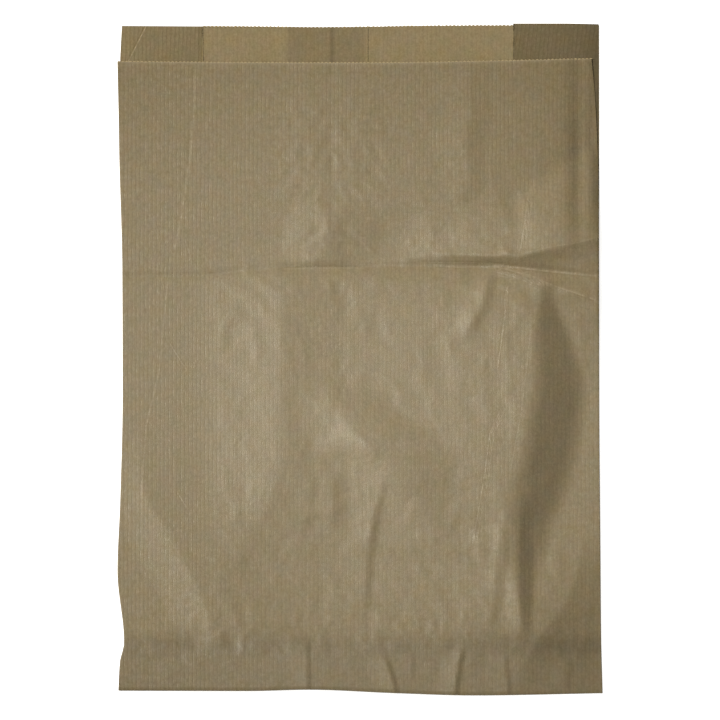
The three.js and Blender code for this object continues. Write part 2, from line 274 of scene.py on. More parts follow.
def crumpleHeight(x, y):
    total = np.zeros_like(x)
    for number, (spanX, spanY, soft, height, size, stretch, lean, mirror) in enumerate(crumples.values()):
        inside = ease((x - spanX[0]) / soft) * ease((spanX[1] - x) / soft)
        inside = inside * ease((y - spanY[0]) / soft) * ease((spanY[1] - y) / soft)
        across = x if mirror is None else np.abs(x - mirror)
        u, v = across + lean * y, (y - lean * across) / stretch
        wander = cloud(u, v, size * 0.7, bag["seed"] + number) * size * 0.25
        hills = cloud(u + wander, v - wander, size, bag["seed"] + 20 + number)
        total += height * inside * (1 - 1.8 * np.sqrt(hills * hills + 0.002))
    return total


def pleatHeight(x, y):
    total = np.zeros_like(x)
    for depth, points in pleats:
        places, lines = zip(*points)
        away = x - valueAt(places, lines, y)
        inside = ease((places[0] - y) / 6) * ease((y - places[-1]) / 3 + 1)
        rise, drop = np.clip(1 + away / 12, 0, 1) ** 1.5, np.clip(1 - away / 0.8, 0, 1)
        total += depth * inside * np.where(away < 0, rise, drop)
    return total


def panelHeight(x, y):
    raised = sum(foldHeight(*fold, x, y) for fold in belly.values())
    place, crest, reach, drop = np.array(eastFall, float).T
    soft, foot = panel["fallSoft"], panel["fallFoot"]
    past = (x - valueAt(place, crest, y)) / valueAt(place, reach, y) * (1 - foot / 2)
    past = np.clip(past, 0, 1)
    fallen = np.where(past < soft, past * past / (2 * soft), past - soft / 2)
    fallen = (fallen - np.maximum(past - 1 + foot, 0) ** 2 / (2 * foot)) / (1 - soft / 2 - foot / 2)
    raised = raised - valueAt(place, drop, y) * fallen
    places, rises = zip(*panel["upperRise"])
    raised = raised + valueAt(places, rises, x) * ramp(y, 50, 90) * (1 - 0.5 * ramp(y, 90, 162))
    raised = raised + sum(foldHeight(*fold, x, y) for fold in folds.values()) + crinkleHeight(x, y)
    raised = raised + crumpleHeight(x, y)
    raised = raised - panel["glueDent"] * np.exp(-((x - bag["glueLine"]) / 1.6) ** 2) * ramp(y, 62, 82)
    share = (y - bag["bottom"]) / panel["flapLength"]
    strip = panel["bottomHeight"] + (panel["stripHeight"] - panel["bottomHeight"]) * share
    base = panel["height"] - (panel["height"] - panel["lipHeight"]) * ramp(y, 70, 160)
    edge = panel["stripEdge"] + 2.5 * cloud(x, x * 0, 11, bag["seed"])
    aboveStrip = ease((y - edge + 7) / 14)
    flat = (crinkleHeight(x, y) + crumpleHeight(x, y)) * (1 - aboveStrip) * ease((y - bag["bottom"]) / 5)
    height = strip + (base + raised - strip) * aboveStrip + flat
    height = height + pleatHeight(x, y) + foldHeight(*corner, x, y)
    return np.maximum(height, backHeight(x, y) + panel["foldGap"] + 2 * panel["foldRadius"])


# Each edge as (place along it, place of the edge).
edges = {
    "frontLeft": [(161, -131.8), (125, -131), (48, -129.2), (-20, -129), (-77, -130.3),
                  (-115, -131.8), (-154, -128.2), (-165, -130.5), (-181, -131.3)],
    "frontRight": [(161, 125.8), (150, 127), (141, 127.7), (120, 128.9), (100, 129.6), (64, 129.9),
                   (-20, 130), (-100, 130.6), (-150, 131), (-181, 131.8)],
    "backLeft": [(181, -129.4), (161, -130.4), (125, -131), (48, -129.2), (-20, -129),
                 (-77, -130.3), (-115, -131.8), (-154, -128.2), (-165, -130.5), (-181, -131.3)],
    "backRight": [(181, 129.9), (64, 130), (-20, 130), (-100, 130.6), (-150, 131), (-181, 131.8)],
    "mouth": [(-130, 181), (-60, 180.6), (-20, 180.2), (40, 181), (83, 181.2), (130, 181.2)],
    "rightMouth": [(83, 182.3), (110, 182.3), (130, 181.9)],
    "lip": [(-130, 161.5), (-30, 160.9), (10, 160.9), (60, 161.6), (128, 163.2)],
    "bottom": [(-130, -179.8), (-60, -180), (-28, -179.3), (20, -181.2), (62, -182.4), (130, -181.2)],
}


def edgeAt(name, at):
    places, values = zip(*edges[name])
    return valueAt(places, values, at)


# Thin lines pressed or rubbed into the paper: strength, below 0 for a dark line of painted shade, half
# width, points.
creaseLines = [
    (0.55, 1.0, [(-88.5, 161), (-90, 135), (-91.8, 110), (-94.5, 91), (-98, 70), (-102.5, 50)]),
    (0.35, 0.6, [(-102, 60), (-103.7, 46), (-107, 13), (-108.6, -6), (-115.7, -36), (-118, -66),
                 (-118.2, -84)]),
    (0.5, 0.42, [(-95, 66), (-91, 52)]),
    (0.5, 0.42, [(-106, 13), (-92, -9)]),
    (0.6, 0.42, [(-101, -69), (-92, -84)]),
    (0.3, 0.42, [(-91.3, -83), (-91.3, -110)]),
    (0.6, 0.42, [(81.6, 44), (77, 9), (74.5, -8)]),
    (0.4, 0.42, [(79, -22), (70.7, -41), (68, -63), (60, -109)]),
    (0.3, 0.42, [(81.5, -22), (73, -41), (70.2, -63), (62.5, -105)]),
    (0.25, 0.42, [(93.5, 20), (88, -28), (81.6, -63)]),
    (0.5, 0.42, [(33.7, 51.5), (50, 50), (65.8, 49.6)]),
    (1.0, 0.42, [(66, 52), (82.7, 49.9), (100.6, 47.7), (129.4, 45), (138, 44)]),
    (1.0, 0.42, [(67.4, 51.6), (81, 48.3), (93.5, 45), (104.4, 40.1), (129.4, 31.4), (138, 28)]),
    (0.6, 0.42, [(86, 46.5), (98, 42.4), (108, 36.5)]),
    (-0.5, 0.42, [(70, 47.5), (88, 43.5), (101, 38)]),
    (0.6, 0.42, [(91.9, 92), (89.4, 72), (87.6, 60.8), (83.8, 50)]),
    (0.4, 0.42, [(94.2, 90), (91.6, 72), (89.6, 58)]),
    (0.5, 0.42, [(70, 48.5), (84, 44.5), (96, 40.5), (106, 39)]),
    (0.5, 0.42, [(82.1, 45), (78.9, 33.6), (78.9, 16.2)]),
    (0.4, 0.42, [(84.8, 56.4), (104.4, 60.9), (116.4, 62.6), (129.4, 66), (138, 68)]),
    (-0.8, 0.42, [(-44, 49.8), (-20, 50.2), (6, 50.2)]),
    (-0.5, 0.42, [(30, 53), (66, 52.8), (84, 51.6)]),
    # a broad band of painted shade along the upper right edge
    (-0.8, 2.4, [(128.5, 170), (129, 110), (129.5, 60), (130, 10)]),
]
# dark lines of painted shade in the pleats
creaseLines += [(-4 * depth, 0.5, points) for depth, points in pleats]
lineReach = 3.0


def lineField(lines, x, y):
    # signed distance to the nearest line in half widths, and its strength, fading at the ends
    away, strong = np.zeros_like(x), np.zeros_like(x)
    nearest = np.full(x.shape, lineReach)
    for strength, width, points in lines:
        steps = [math.hypot(b[0] - a[0], b[1] - a[1]) for a, b in zip(points[:-1], points[1:])]
        travelled, total = 0, sum(steps)
        for (ax, ay), (bx, by), length in zip(points[:-1], points[1:], steps):
            ux, uy = (bx - ax) / length, (by - ay) / length
            along = (x - ax) * ux + (y - ay) * uy
            side = (x - ax) * uy - (y - ay) * ux
            past = np.maximum(np.maximum(-along, along - length), 0)
            near = np.hypot(side, past)
            closer = near < nearest
            run = np.clip(travelled + along, 0, total)
            fade = ease(run / 8) * ease((total - run) / 8) * np.clip(1 - near / lineReach, 0, 1)
            away = np.where(closer, side / width, away)
            strong = np.where(closer, strength * fade, strong)
            nearest = np.where(closer, near, nearest)
            travelled += length
    return away, strong


def facing(points):
    # unit normals of a grid of points, towards the side where rows run down and columns right
    normal = np.cross(np.gradient(points, axis=0), np.gradient(points, axis=1))
    return normal / np.maximum(np.linalg.norm(normal, axis=2, keepdims=True), 1e-12)


def sheet(name, points, flat, paintOut, paintIn, lines=(), turned=0):
    # paper with two faces and a cut rim; flat is each point's place on the unfolded paper,
    # and turned is 1 on the crest of the left side fold, where shade is painted
    rows, columns = points.shape[:2]
    push = facing(points) * bag["paper"] / 2
    skins = np.concatenate([(points + push).reshape(-1, 3), (points - push).reshape(-1, 3)]) * mm
    number = np.arange(rows * columns).reshape(rows, columns)
    a, b = number[:-1, :-1].ravel(), number[:-1, 1:].ravel()
    c, d = number[1:, 1:].ravel(), number[1:, :-1].ravel()
    rim = np.concatenate([number[0, :], number[1:, -1], number[-1, -2::-1], number[-2:0:-1, 0]])
    after = np.roll(rim, -1)
    under = rows * columns
    wall = np.stack([rim, after, after + under, rim + under], 1)
    faces = np.concatenate([np.stack([a, d, c, b], 1), np.stack([a, b, c, d], 1) + under, wall])
    mesh = bpy.data.meshes.new(name)
    mesh.from_pydata(skins.tolist(), [], faces.tolist())
    for paint in (paintOut, paintIn, paints["cut"]):
        mesh.materials.append(paint)
    slots = np.repeat([0, 1, 2], [len(a), len(a), len(wall)])
    mesh.polygons.foreach_set("material_index", slots.astype(np.int32))
    mesh.polygons.foreach_set("use_smooth", slots < 2)
    ends = np.empty(len(mesh.edges) * 2, np.int32)
    mesh.edges.foreach_get("vertices", ends)
    ends = np.sort(ends.reshape(-1, 2), 1) @ [2 * under, 1]
    around = np.stack([rim, after], 1)
    rims = np.sort(np.concatenate([around, around + under]), 1) @ [2 * under, 1]
    mesh.edges.foreach_set("use_edge_sharp", np.isin(ends, rims))
    places = np.tile(flat.reshape(-1, 2), (2, 1)) * mm
    layer = mesh.uv_layers.new(name="paper")
    layer.data.foreach_set("uv", places[faces.ravel()].astype(np.float32).ravel())
    away, strong = lineField(lines, points[..., 0].ravel(), points[..., 1].ravel())
    # where shade is painted on the crest of the left side fold
    foldShadeMask = np.broadcast_to(turned, (rows, columns)).ravel()
    crease = np.tile(np.stack([away, strong, foldShadeMask], 1), (2, 1))
    held = mesh.attributes.new("crease", "FLOAT_VECTOR", "POINT")
    held.data.foreach_set("vector", crease.astype(np.float32).ravel())
    mesh.update()
    piece = bpy.data.objects.new(name, mesh)
    bpy.context.scene.collection.objects.link(piece)
    return piece


def spans(parts):
    # even steps through several stretches
    places = np.concatenate([np.linspace(start, end, steps, endpoint=False) for start, end, steps in parts])
    return np.append(places, parts[-1][1])


def sideFold(start, outward, side, radius, depth, angles, tuck):
    # half a turn round a side fold, twice depth high and bulging by radius, then a little way in
    ring = []
    for angle in angles:
        swing = np.zeros(start.shape)
        swing[:, 0] = side * radius * math.sin(angle)
        place = start - (1 - math.cos(angle)) * depth[:, None] * outward + swing
        ring.append((place, angle * (radius + depth) / 2))
    place, travelled = ring[-1]
    ring.append((place + np.array([-side * tuck, 0, 0]), travelled + tuck))
    return ring


def bulge(y):
    # how far a side fold of the front stands out, less towards the mouth
    return panel["sideRadius"] * (1 - 0.7 * ramp(y, 70, 100))


def foldDepth(z, x, y):
    # a side fold of the front reaches down to the back, and is pressed flat near the bottom
    reach = (z - backHeight(x, y) - panel["foldGap"]) / 2
    above = ramp(y, bag["bottom"] + 3, bag["bottom"] + 15)
    return panel["foldRadius"] + np.maximum(reach - panel["foldRadius"], 0) * above


def fitSides(x, y, left, right, inset):
    # shares out the edge's wander over the outer half of the sheet
    side = bag["side"]
    near = ramp(np.abs(x), side / 2, side)
    return x + near * np.where(x < 0, edgeAt(left, y) + inset + side, edgeAt(right, y) - inset - side)


def makeFront():
    # the front panel, round the bottom fold and back under as the flap
    side, inner = bag["side"], bag["side"] - panel["edgeColumn"]
    across = np.concatenate([[-side], np.linspace(-inner, inner, panel["columns"]), [side]])
    y, x = np.meshgrid(spans(panel["rows"]), across, indexing="ij")
    ruled = x[0]
    x = fitSides(x, y, "frontLeft", "frontRight", bulge(y))
    paperY = y
    y = y + (edgeAt("lip", x) - bag["lip"]) * ramp(y, 100, 161)
    y = y + (edgeAt("bottom", x) - bag["bottom"]) * ramp(y, -164, -180)
    z = panelHeight(x, y)
    flapFrom = len(z)
    turn = (z[-1] - panel["flapHeight"]) / 2
    parts = [(x, y, z, paperY)]
    for angle in np.linspace(0, math.pi, 6)[1:]:
        drop = turn * (1 - math.cos(angle))
        row = (x[-1], y[-1] - 0.5 * math.sin(angle), z[-1] - drop, paperY[-1] - angle * turn)
        parts.append([part[None] for part in row])
    for run in np.linspace(0, 1, panel["flapRows"] + 1)[1:]:
        flapY = y[-1] + run * (panel["flapLength"] + 0.25 * np.sin(ruled / 17))
        flapX = fitSides(ruled, flapY, "frontLeft", "frontRight", bulge(flapY))
        flapPaper = paperY[-1] - math.pi * turn - (flapY - y[-1])
        row = (flapX, flapY, np.full_like(flapX, panel["flapHeight"]), flapPaper)
        parts.append([part[None] for part in row])
    x, y, z, paperY = [np.concatenate(column) for column in zip(*parts)]
    middle = np.stack([x, y, z], 2)
    outward = facing(middle) * np.array([0, 1, 1])
    outward /= np.linalg.norm(outward, axis=2, keepdims=True)
    angles = (0.5, 1.0, 1.57, 2.1, 2.6, math.pi)
    ends = [foldDepth(z[:, column], x[:, column], y[:, column]) for column in (0, -1)]
    for depth in ends:
        depth[flapFrom:] = panel["foldRadius"]
    left = sideFold(middle[:, 0], outward[:, 0], -1, bulge(y[:, 0]), ends[0], angles, panel["tuck"])
    right = sideFold(middle[:, -1], outward[:, -1], 1, bulge(y[:, -1]), ends[1], angles, panel["tuck"])
    points = np.concatenate([np.stack([p for p, _ in left[::-1]], 1), middle,
                             np.stack([p for p, _ in right], 1)], 1)
    paperX = np.concatenate([np.stack([x[:, 0] - s for _, s in left[::-1]], 1), x,
                             np.stack([x[:, -1] + s for _, s in right], 1)], 1)
    paperY = np.concatenate([paperY[:, :1]] * len(left) + [paperY] + [paperY[:, -1:]] * len(right), 1)
    # the crest of the left side fold, which gets painted shade
    turned = np.zeros(points.shape[1])
    turned[len(left) - 2:len(left)] = 1
    flat = np.stack([paperX, paperY], 2)
    return sheet("front_panel", points, flat, paints["glazed"], paints["plain"], creaseLines, turned)


back = {
    "height": 0.1,
    "overFlap": 0.3,         # lifted where it lies on the flap
    "wave": 0.05,
    "overlapLift": 0.2,      # the left half lies on the right half
    "sideRadius": 0.08,
    "tuck": 0.1,
    "rows": 92,
    "columns": 46,
}


def backHeight(x, y):
    onFlap = ramp(y, panel["stripEdge"] + 6, panel["stripEdge"] - 2)
    wave = back["wave"] * (1 + cloud(x, y, 38, bag["seed"])) * ramp(y, 120, 170)
    return back["height"] + back["overFlap"] * onFlap + wave


def makeBack(name, side):
    # the left half's cut edge lies on top of the seam, the right half's under it
    edge, radius = ("backLeft" if side < 0 else "backRight"), back["sideRadius"]
    seamEnd = bag["seamTo" if side < 0 else "seamFrom"]
    y, run = np.meshgrid(np.linspace(bag["mouth"], bag["bottom"] + 1, back["rows"]),
                         np.linspace(0, 1, back["columns"]), indexing="ij")
    outer = edgeAt(edge, y) - side * radius
    x = seamEnd + (outer - seamEnd) * (run if side > 0 else 1 - run)
    y = y + (edgeAt("mouth", x) - bag["mouth"]) * ramp(y, 100, 180)
    lift = back["overlapLift"] * ease((x - bag["seamFrom"] + 8) / 8) if side < 0 else 0
    middle = np.stack([x, y, backHeight(x, y) + lift], 2)
    up = np.array([0, 0, 1.0])
    column = 0 if side < 0 else -1
    depth = np.full(len(y), radius)
    ring = sideFold(middle[:, column], -up, side, radius, depth, (0.8, 1.6, 2.4, math.pi), back["tuck"])
    extra = np.stack([p for p, _ in ring], 1)
    extraX = np.stack([x[:, column] + side * s for _, s in ring], 1)
    extraY = np.repeat(y[:, :1], len(ring), 1)
    if side < 0:
        points = np.concatenate([extra[:, ::-1], middle], 1)
        flat = np.stack([np.concatenate([extraX[:, ::-1], x], 1), np.concatenate([extraY, y], 1)], 2)
    else:
        points = np.concatenate([middle, extra], 1)
        flat = np.stack([np.concatenate([x, extraX], 1), np.concatenate([y, extraY], 1)], 2)
    inner = paints["seamed"] if side < 0 else paints["plain"]
    return sheet(name, points, flat, inner, paints["back"])


gusset = {
    "turn": 0.06,            # radius of the inner fold
    "overBack": 0.1,         # of its lower ply, at the inner fold
    "drop": 9,               # how soon the upper ply falls from the side fold on to the lower one
    "rows": 120,
    "steps": 36,
    "leftLines": [
        (1.6, 0.42, [(-110, 193), (-115.4, 182), (-127.5, 158), (-132, 149)]),
        # dark lines of painted shadow beside the inner fold
        (-0.9, 0.42, [(-86.2, 190), (-86.2, 150)]),
        (-0.6, 0.42, [(-87.6, 190), (-87.6, 160)])],
}


def makeGusset(name, side):
    # from the front's side fold in to the tuck, and out again to the back's side fold
    frontEdge, backEdge = ("frontLeft", "backLeft") if side < 0 else ("frontRight", "backRight")
    tuck = bag["tuckLeft" if side < 0 else "tuckRight"]
    mouthEdge, lip = ("mouth", 161.2) if side < 0 else ("rightMouth", 162.4)
    down = np.linspace(0, 1, gusset["rows"]) ** 1.7    # closer together at the mouth
    radius = gusset["turn"]
    strips = []
    for run in np.linspace(0, 1, gusset["steps"]) ** 1.6:
        y = lip + (bag["bottom"] + 1 - lip) * down
        edge = edgeAt(frontEdge, y) - side * bulge(y)
        frontX = edge - side * panel["tuck"]
        x = frontX + (tuck - frontX) * run
        start = panelHeight(edge, np.minimum(y, 161))
        start = start - 2 * foldDepth(start, edge, y)
        end = backHeight(np.full_like(y, tuck), y) + gusset["overBack"] + 2 * radius
        over, under = panelHeight(x, np.minimum(y, 161)), backHeight(x, y)
        drop = 1 - (1 - run) ** gusset["drop"]
        ceiling = over - np.minimum((over - under) / 3, 0.3)
        strips.append((x, y, np.minimum(start + (end - start) * drop, ceiling)))
    for angle in (0.8, 1.57, 2.35):
        top = lip + (edgeAt(mouthEdge, tuck) - lip) * angle / math.pi
        y = top + (bag["bottom"] + 1 - top) * down
        foldZ = backHeight(np.full_like(y, tuck), y) + gusset["overBack"] + radius
        foldX = np.full_like(y, tuck - side * radius * math.sin(angle))
        strips.append((foldX, y, foldZ + radius * math.cos(angle)))
    for run in np.linspace(0, 1, gusset["steps"]):
        top = edgeAt(mouthEdge, tuck + (side * 129 - tuck) * run)
        y = top + (bag["bottom"] + 1 - top) * down
        backX = edgeAt(backEdge, y) - side * (back["sideRadius"] + back["tuck"])
        x = tuck + (backX - tuck) * run
        lift = gusset["overBack"] + (2 * back["sideRadius"] - gusset["overBack"]) * run
        strips.append((x, y, backHeight(x, y) + lift))
    points = np.stack([np.stack(strip, 1) for strip in strips], 1)
    travelled = np.cumsum(np.abs(np.diff(points[..., 0], axis=1, prepend=points[:, :1, 0])), 1)
    flat = np.stack([-side * travelled, points[..., 1]], 2)
    outside = paints["gussetLeft" if side < 0 else "gussetRight"]
    if side < 0:
        return sheet(name, points, flat, paints["plain"], outside, gusset["leftLines"])
    return sheet(name, points[:, ::-1], flat[:, ::-1], paints["plain"], outside)


class Wire:
    # a socket of a material's tree; arithmetic on it adds the maths nodes
    def __init__(self, tree, socket=None):
        self.tree, self.socket = tree, socket

    def make(self, kind, settings=None, values=None, out=0):
        node = self.tree.nodes.new(kind)
        for key, value in (settings or {}).items():
            setattr(node, key, value)
        for key, value in (values or {}).items():
            if isinstance(value, Wire):
                self.tree.links.new(value.socket, node.inputs[key])
            else:
                node.inputs[key].default_value = value
        return Wire(self.tree, node.outputs[out] if len(node.outputs) else None)

    def math(self, operation, *values):
        return self.make("ShaderNodeMath", {"operation": operation}, dict(enumerate(values)))

    def __add__(self, other):
        return self.math("ADD", self, other)

    def __radd__(self, other):
        return self.math("ADD", other, self)

    def __sub__(self, other):
        return self.math("SUBTRACT", self, other)

    def __rsub__(self, other):
        return self.math("SUBTRACT", other, self)

    def __mul__(self, other):
        return self.math("MULTIPLY", self, other)

    def __rmul__(self, other):
        return self.math("MULTIPLY", other, self)

    def __truediv__(self, other):
        return self.math("DIVIDE", self, other)


kraft = {
    "colour": (0.229, 0.1745, 0.0915),
    "glazeCentre": (-20, -18),
    "glazeReach": (190, 180),
    "fade": 0.13,             # painted shade, darker away from the middle of the front
    "dull": 0.70,             # and less glazed
    "mottle": 0.9,            # patches of more and of less glaze
    "redTone": 0.17,          # clouds of redder and of yellower pulp
    "blueTone": 0.3,
    "ribTone": 0.066,
    "ribDepth": 0.006,        # millimetres, as all depths
    "grainTone": 0.34,
    "fleckTone": 0.28,
    "streakTone": 0.12,
    "cloudTone": 0.08,
    "cockleDepth": 0.035,
    "grainDepth": 0.005,
    "roughness": 0.36,
    "lineTone": 0.24,
    "lineDepth": 0.05,
    "foldTone": 0.5,          # painted shade on the crest of the left side fold
    "bottomShadeTone": 0.16,        # painted shade where the folded bottom begins
    "bottomShadeWidth": 6,
    "stripTone": 0.08,        # painted shade: the folded bottom is a little darker and greyer
    "cornerShade": 0.12,       # painted shade in the lower right corner
    "cornerCentre": (130, -165),
    "cornerReach": (38, 32),
    "gussetDepth": 44.5,      # of one ply
    "lipWidth": 0.7,          # of the paler fibres and painted highlight along a cut edge
    "lipTone": 0.4,
}


def kraftPaint(name, tone=1.0, glaze=1.0, ribs=1.0, outer=0.0, seam=False, handledAndShaded=False):
    material = bpy.data.materials.new(name)
    material.use_nodes = True
    material.node_tree.nodes.clear()
    wire = Wire(material.node_tree)

    def part(vector, number):
        return wire.make("ShaderNodeSeparateXYZ", values={0: vector}, out=number)

    def power(value):
        return wire.math("POWER", math.e, value)

    def step(value, start, end):
        smooth = {"interpolation_type": "SMOOTHSTEP"}
        return wire.make("ShaderNodeMapRange", smooth, {"Value": value, "From Min": start, "From Max": end})

    def noise(scale, detail, shift=0.0, squeeze=1.0):
        at = wire.make("ShaderNodeVectorMath", {"operation": "MULTIPLY_ADD"},
                       {0: paper, 1: (1, squeeze, 1), 2: (shift, shift, 0)})
        return wire.make("ShaderNodeTexNoise", {"noise_dimensions": "2D"},
                         {"Vector": at, "Scale": scale / mm, "Detail": detail}) - 0.5

    def distance(centre, reach):
        # squared distance from a place on the paper, in reaches
        right, up = u - centre[0], v - centre[1]
        return right * right / reach[0] ** 2 + up * up / reach[1] ** 2

    paper = wire.make("ShaderNodeUVMap", {"uv_map": "paper"})
    u, v = part(paper, 0) / mm, part(paper, 1) / mm
    grain, fleck, cockle, clouds = noise(0.95, 2), noise(0.4, 2), noise(0.42, 3), noise(0.07, 5)
    redder, yellower = noise(0.13, 2, 1.7), noise(0.1, 2, 3.1)
    streak = noise(0.9, 2, squeeze=0.12)
    crease = wire.make("ShaderNodeAttribute", {"attribute_name": "crease"}, out=1)
    away, strong = part(crease, 0), part(crease, 1)
    # a pale ridge with a fainter dark line of painted shade beside it
    line = power(away * away * -1) - power((away - 1.7) * (away - 1.7) * -1) * 0.5
    line = line * strong * (1 + fleck * 2.5)
    # ribs that wander a little and come and go
    turn = (u / bag["ribPitch"] + clouds * 0.5) * math.tau
    wave = wire.math("SINE", turn) + wire.math("SINE", turn * 2 + 1) * (0.5 + fleck * 3)
    wave = wave * (0.9 + clouds * 1.6 + fleck * 2)
    fade = 1
    if handledAndShaded:
        # rubbed flatter and glossier in the middle of the bag
        far = distance(kraft["glazeCentre"], kraft["glazeReach"])
        wave = wave * (1 - step(u, -95, -35) * (0.12 + step(v, 120, 60) * 0.28))
        # painted shade: darker away from the middle of the front, where the light falls off
        fade = 1.06 - far * kraft["fade"]
        folded = step(v, panel["stripEdge"] + 5, panel["stripEdge"] - 7)
        gloss = 1.12 - far * kraft["dull"] + noise(0.28, 3, 5.3) * kraft["mottle"] + folded * 0.22
    fine = wave * (kraft["ribTone"] * ribs) + grain * kraft["grainTone"] + fleck * kraft["fleckTone"]
    pale = line * kraft["lineTone"]
    tint = (1 + streak * kraft["streakTone"] + clouds * kraft["cloudTone"]) * fade
    if handledAndShaded:
        # paler fibres and a painted highlight along the lip's cut edge
        pale = pale + power((v - bag["lip"]) / kraft["lipWidth"]) * kraft["lipTone"]
        # painted shade on the crest of the left side fold
        tint = tint * (1 - part(crease, 2) * kraft["foldTone"])
        # painted shade along the top of the folded bottom and over the whole folded bottom
        below = (v - panel["stripEdge"]) / kraft["bottomShadeWidth"]
        bottomShade = power(below * below * -1) * kraft["bottomShadeTone"]
        tint = tint * (1 - folded * kraft["stripTone"]) * (1 - bottomShade)
        # painted shade in the lower right corner
        corner = distance(kraft["cornerCentre"], kraft["cornerReach"])
        tint = tint * (1 - power(corner * -1) * kraft["cornerShade"])
    if outer:
        # lighter or darker towards the side folds of a gusset; the darkening on the right gusset is painted
        # shade
        depth = kraft["gussetDepth"]
        inward = depth - wire.math("ABSOLUTE", wire.math("ABSOLUTE", u) - depth)
        tint = tint * (1 + power(inward / -12) * outer)
    if seam:
        # painted shade where the left half overlaps the right, as less light comes through two plies, darker
        # still along the glue line, and paler fibres with a painted highlight at the cut edge
        over = step(u, bag["seamFrom"] - 1, bag["seamFrom"] + 1)
        glue = power((u - bag["glueLine"]) * (u - bag["glueLine"]) * -0.8)
        edge = power((u - bag["seamTo"]) / kraft["lipWidth"])
        tint = tint * (1 - over * (0.15 + glue * 0.2)) + edge * kraft["lipTone"]
    shade = wire.make("ShaderNodeCombineColor", values={
        0: tint * (1 + redder * kraft["redTone"] + fine * 0.92 + pale),
        1: tint * (1 + fine + pale * 1.1),
        2: tint * (1 + yellower * kraft["blueTone"] + fine * 1.2 + pale * 1.6)})
    base = tuple(channel * tone for channel in kraft["colour"]) + (1,)
    colour = wire.make("ShaderNodeMix", {"data_type": "RGBA", "blend_type": "MULTIPLY"},
                       {0: 1.0, 6: base, 7: shade}, out=2)
    height = wave * (kraft["ribDepth"] * ribs) + grain * kraft["grainDepth"] + cockle * kraft["cockleDepth"]
    height = height + line * kraft["lineDepth"]
    bump = wire.make("ShaderNodeBump", values={"Distance": mm, "Height": height})

    def finish(share):
        return wire.make("ShaderNodeBsdfPrincipled", values={
            "Base Color": colour, "Roughness": kraft["roughness"] + (1 - share) * 0.3, "Normal": bump,
            "Specular IOR Level": 0.1 + 0.9 * share})

    surface = finish(glaze)
    if handledAndShaded:
        surface = wire.make("ShaderNodeMixShader", values={0: gloss, 1: finish(0), 2: surface})
    wire.make("ShaderNodeOutputMaterial", values={"Surface": surface})
    return material


paints = {
    "glazed": kraftPaint("glazedKraft", handledAndShaded=True),
    "back": kraftPaint("backKraft", glaze=0.8),
    "gussetLeft": kraftPaint("leftGussetKraft", tone=0.88, glaze=0, ribs=1.1, outer=0.12),
    # painted shade: the right gusset is made darker than the left
    "gussetRight": kraftPaint("rightGussetKraft", tone=0.69, glaze=0, ribs=0.9, outer=-0.3),
    "plain": kraftPaint("plainInsideKraft", tone=1.09, glaze=0, ribs=0.45),
    "seamed": kraftPaint("seamedInsideKraft", tone=1.09, glaze=0, ribs=0.5, seam=True),
    "cut": kraftPaint("cutEdgeKraft", tone=1.5, glaze=0, ribs=0),
    "teeth": kraftPaint("sawnEdgeKraft", tone=1.7, glaze=0, ribs=0),
}

teeth = {
    "pitch": 2.07,
    "height": 0.42,          # beyond the cut edge
    "thickness": 0.1,
    "uneven": 0.3,
}


def growTeeth():
    # geometry nodes that set small points along an edge, where a saw blade cut the paper
    tree = bpy.data.node_groups.new("sawTeeth", "GeometryNodeTree")
    tree.interface.new_socket("Geometry", in_out="INPUT", socket_type="NodeSocketGeometry")
    sizes = {}
    for name in ("Pitch", "Height", "Thickness", "Uneven"):
        size = tree.interface.new_socket(name, in_out="INPUT", socket_type="NodeSocketFloat")
        sizes[name] = size.identifier
    tree.interface.new_socket("Geometry", in_out="OUTPUT", socket_type="NodeSocketGeometry")
    wire = Wire(tree)

    def triple(x, y, z):
        return wire.make("ShaderNodeCombineXYZ", values={0: x, 1: y, 2: z})

    edge, pitch, height, thickness, uneven = [wire.make("NodeGroupInput", out=number) for number in range(5)]
    curve = wire.make("GeometryNodeMeshToCurve", values={"Mesh": edge})
    points = wire.make("GeometryNodeCurveToPoints", {"mode": "LENGTH"}, {"Curve": curve, "Length": pitch})
    tangent = Wire(tree, points.socket.node.outputs["Tangent"])
    lengthways = {"axis": "X", "pivot_axis": "Z"}
    aligned = wire.make("FunctionNodeAlignRotationToVector", lengthways, {"Vector": tangent})
    # a square block turned by an eighth, so that a corner points out, and flattened to the tooth's height
    side = pitch * math.sqrt(0.5)
    block = wire.make("GeometryNodeMeshCube", values={"Size": triple(side, side, thickness)})
    turned = wire.make("GeometryNodeTransform", values={"Geometry": block, "Rotation": (0, 0, math.pi / 4)})
    flattened = triple(1, height / pitch * 2, 1)
    tooth = wire.make("GeometryNodeTransform", values={"Geometry": turned, "Scale": flattened})
    length = wire.make("FunctionNodeRandomValue", {"data_type": "FLOAT"},
                       {"Min": 1 - uneven, "Max": 1 + uneven, "Seed": bag["seed"]}, out=1)
    rows = wire.make("GeometryNodeInstanceOnPoints", values={
        "Points": points, "Instance": tooth, "Rotation": aligned, "Scale": triple(1, length, 1)})
    solid = wire.make("GeometryNodeRealizeInstances", values={"Geometry": rows})
    painted = wire.make("GeometryNodeSetMaterial", values={"Geometry": solid, "Material": paints["teeth"]})
    wire.make("NodeGroupOutput", values={"Geometry": painted})
    return tree, sizes


